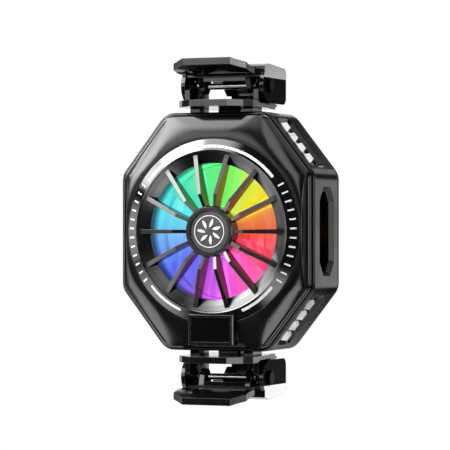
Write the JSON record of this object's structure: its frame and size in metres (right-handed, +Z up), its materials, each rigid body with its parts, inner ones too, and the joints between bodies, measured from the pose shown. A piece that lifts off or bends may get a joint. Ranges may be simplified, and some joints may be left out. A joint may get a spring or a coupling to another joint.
{
  "type": "phone cooling fan",
  "caption": "Clip-on phone cooler: octagon body, spoked round fan guard, glowing fan, side vents, cold plate behind and sprung levers that grip the phone's edges.",
  "frame": {"origin": "middle of the soft pad's outer face, where the phone's back lies", "axes": "+Y from the fan to the phone, +Z up through the clamps, +X to the right seen from the fan side"},
  "size_m": [0.057, 0.0396, 0.0938],
  "materials": {
    "gloss_shell": "gloss",
    "satin_shell": "satin",
    "hub_disc": "fine grain",
    "dark_window": "gloss",
    "clear_tube": "frosted",
    "clear_rotor": "frosted",
    "black_nylon": "matt",
    "circuit": "solder mask",
    "lamp": "clear",
    "bright_stud": "bright",
    "bare_aluminium": "milled",
    "module_white": "ceramic",
    "foam": "closed cell foam",
    "silicone": "soft",
    "steel": "brushed",
    "black_screw": "black zinc",
    "bronze": "sintered",
    "core_steel": "laminated",
    "copper": "enamelled wire",
    "magnet": "matt",
    "jaw_rubber": "soft"
  },
  "bodies": {
    "housing": {"front_cover": "gloss_shell", "trim_ring": "gloss_shell", "fan_guard": "gloss_shell", "hub_badge": "hub_disc", "mid_frame": "satin_shell", "rear_cover": "satin_shell", "vent_studs_upper_right": "bright_stud", "vent_studs_upper_left": "bright_stud", "vent_studs_lower_right": "bright_stud", "vent_studs_lower_left": "bright_stud", "display_housing": "gloss_shell", "display_window": "dark_window", "display_board": "circuit", "light_diffuser": "clear_tube", "light_ring_board": "circuit", "light_ring_lamps": "lamp", "heatsink": "bare_aluminium", "tec_module": "module_white", "tec_gasket": "foam", "cold_plate": "bare_aluminium", "silicone_pad": "silicone", "fan_base": "black_nylon", "fan_bearing": "bronze", "motor_board": "circuit", "stator_core": "core_steel", "stator_windings": "copper", "control_board": "circuit", "usb_c_socket": "steel", "rear_screws": "black_screw", "fan_screws": "steel", "upper_return_spring": "steel", "lower_return_spring": "steel"},
    "fan_rotor": {"impeller": "clear_rotor", "fan_shaft": "steel", "rotor_magnet": "magnet"},
    "upper_clamp": {"upper_carriage": "gloss_shell", "upper_return_foot": "steel", "upper_pivot_pin": "steel", "upper_pin_clip": "steel", "upper_torsion_springs": "steel"},
    "upper_rocker": {"upper_lever": "gloss_shell", "upper_jaw_pad": "jaw_rubber"},
    "lower_clamp": {"lower_carriage": "gloss_shell", "lower_return_foot": "steel", "lower_pivot_pin": "steel", "lower_pin_clip": "steel", "lower_torsion_springs": "steel"},
    "lower_rocker": {"lower_lever": "gloss_shell", "lower_jaw_pad": "jaw_rubber"}
  },
  "joints": [
    {"name": "fan_spin", "type": "hinge", "parent": "housing", "child": "fan_rotor", "pos_m": [0, -0.0177, 0], "axis": [0, 1, 0], "continuous": true},
    {"name": "upper_slide", "type": "slide", "parent": "housing", "child": "upper_clamp", "axis": [0, 0, 1], "range_m": [0, 0.006], "stiffness_N_per_m": 250, "springref_m": -0.006, "deforming": ["upper_return_spring"]},
    {"name": "upper_rocker_hinge", "type": "hinge", "parent": "upper_clamp", "child": "upper_rocker", "pos_m": [0, -0.0122, 0.04], "axis": [1, 0, 0], "range_deg": [0, 24], "stiffness_Nm_per_rad": 0.03, "springref_deg": -28.65},
    {"name": "lower_slide", "type": "slide", "parent": "housing", "child": "lower_clamp", "axis": [0, 0, -1], "range_m": [0, 0.006], "stiffness_N_per_m": 250, "springref_m": -0.006, "deforming": ["lower_return_spring"]},
    {"name": "lower_rocker_hinge", "type": "hinge", "parent": "lower_clamp", "child": "lower_rocker", "pos_m": [0, -0.0122, -0.04], "axis": [-1, 0, 0], "range_deg": [0, 24], "stiffness_Nm_per_rad": 0.03, "springref_deg": -28.65}
  ]
}
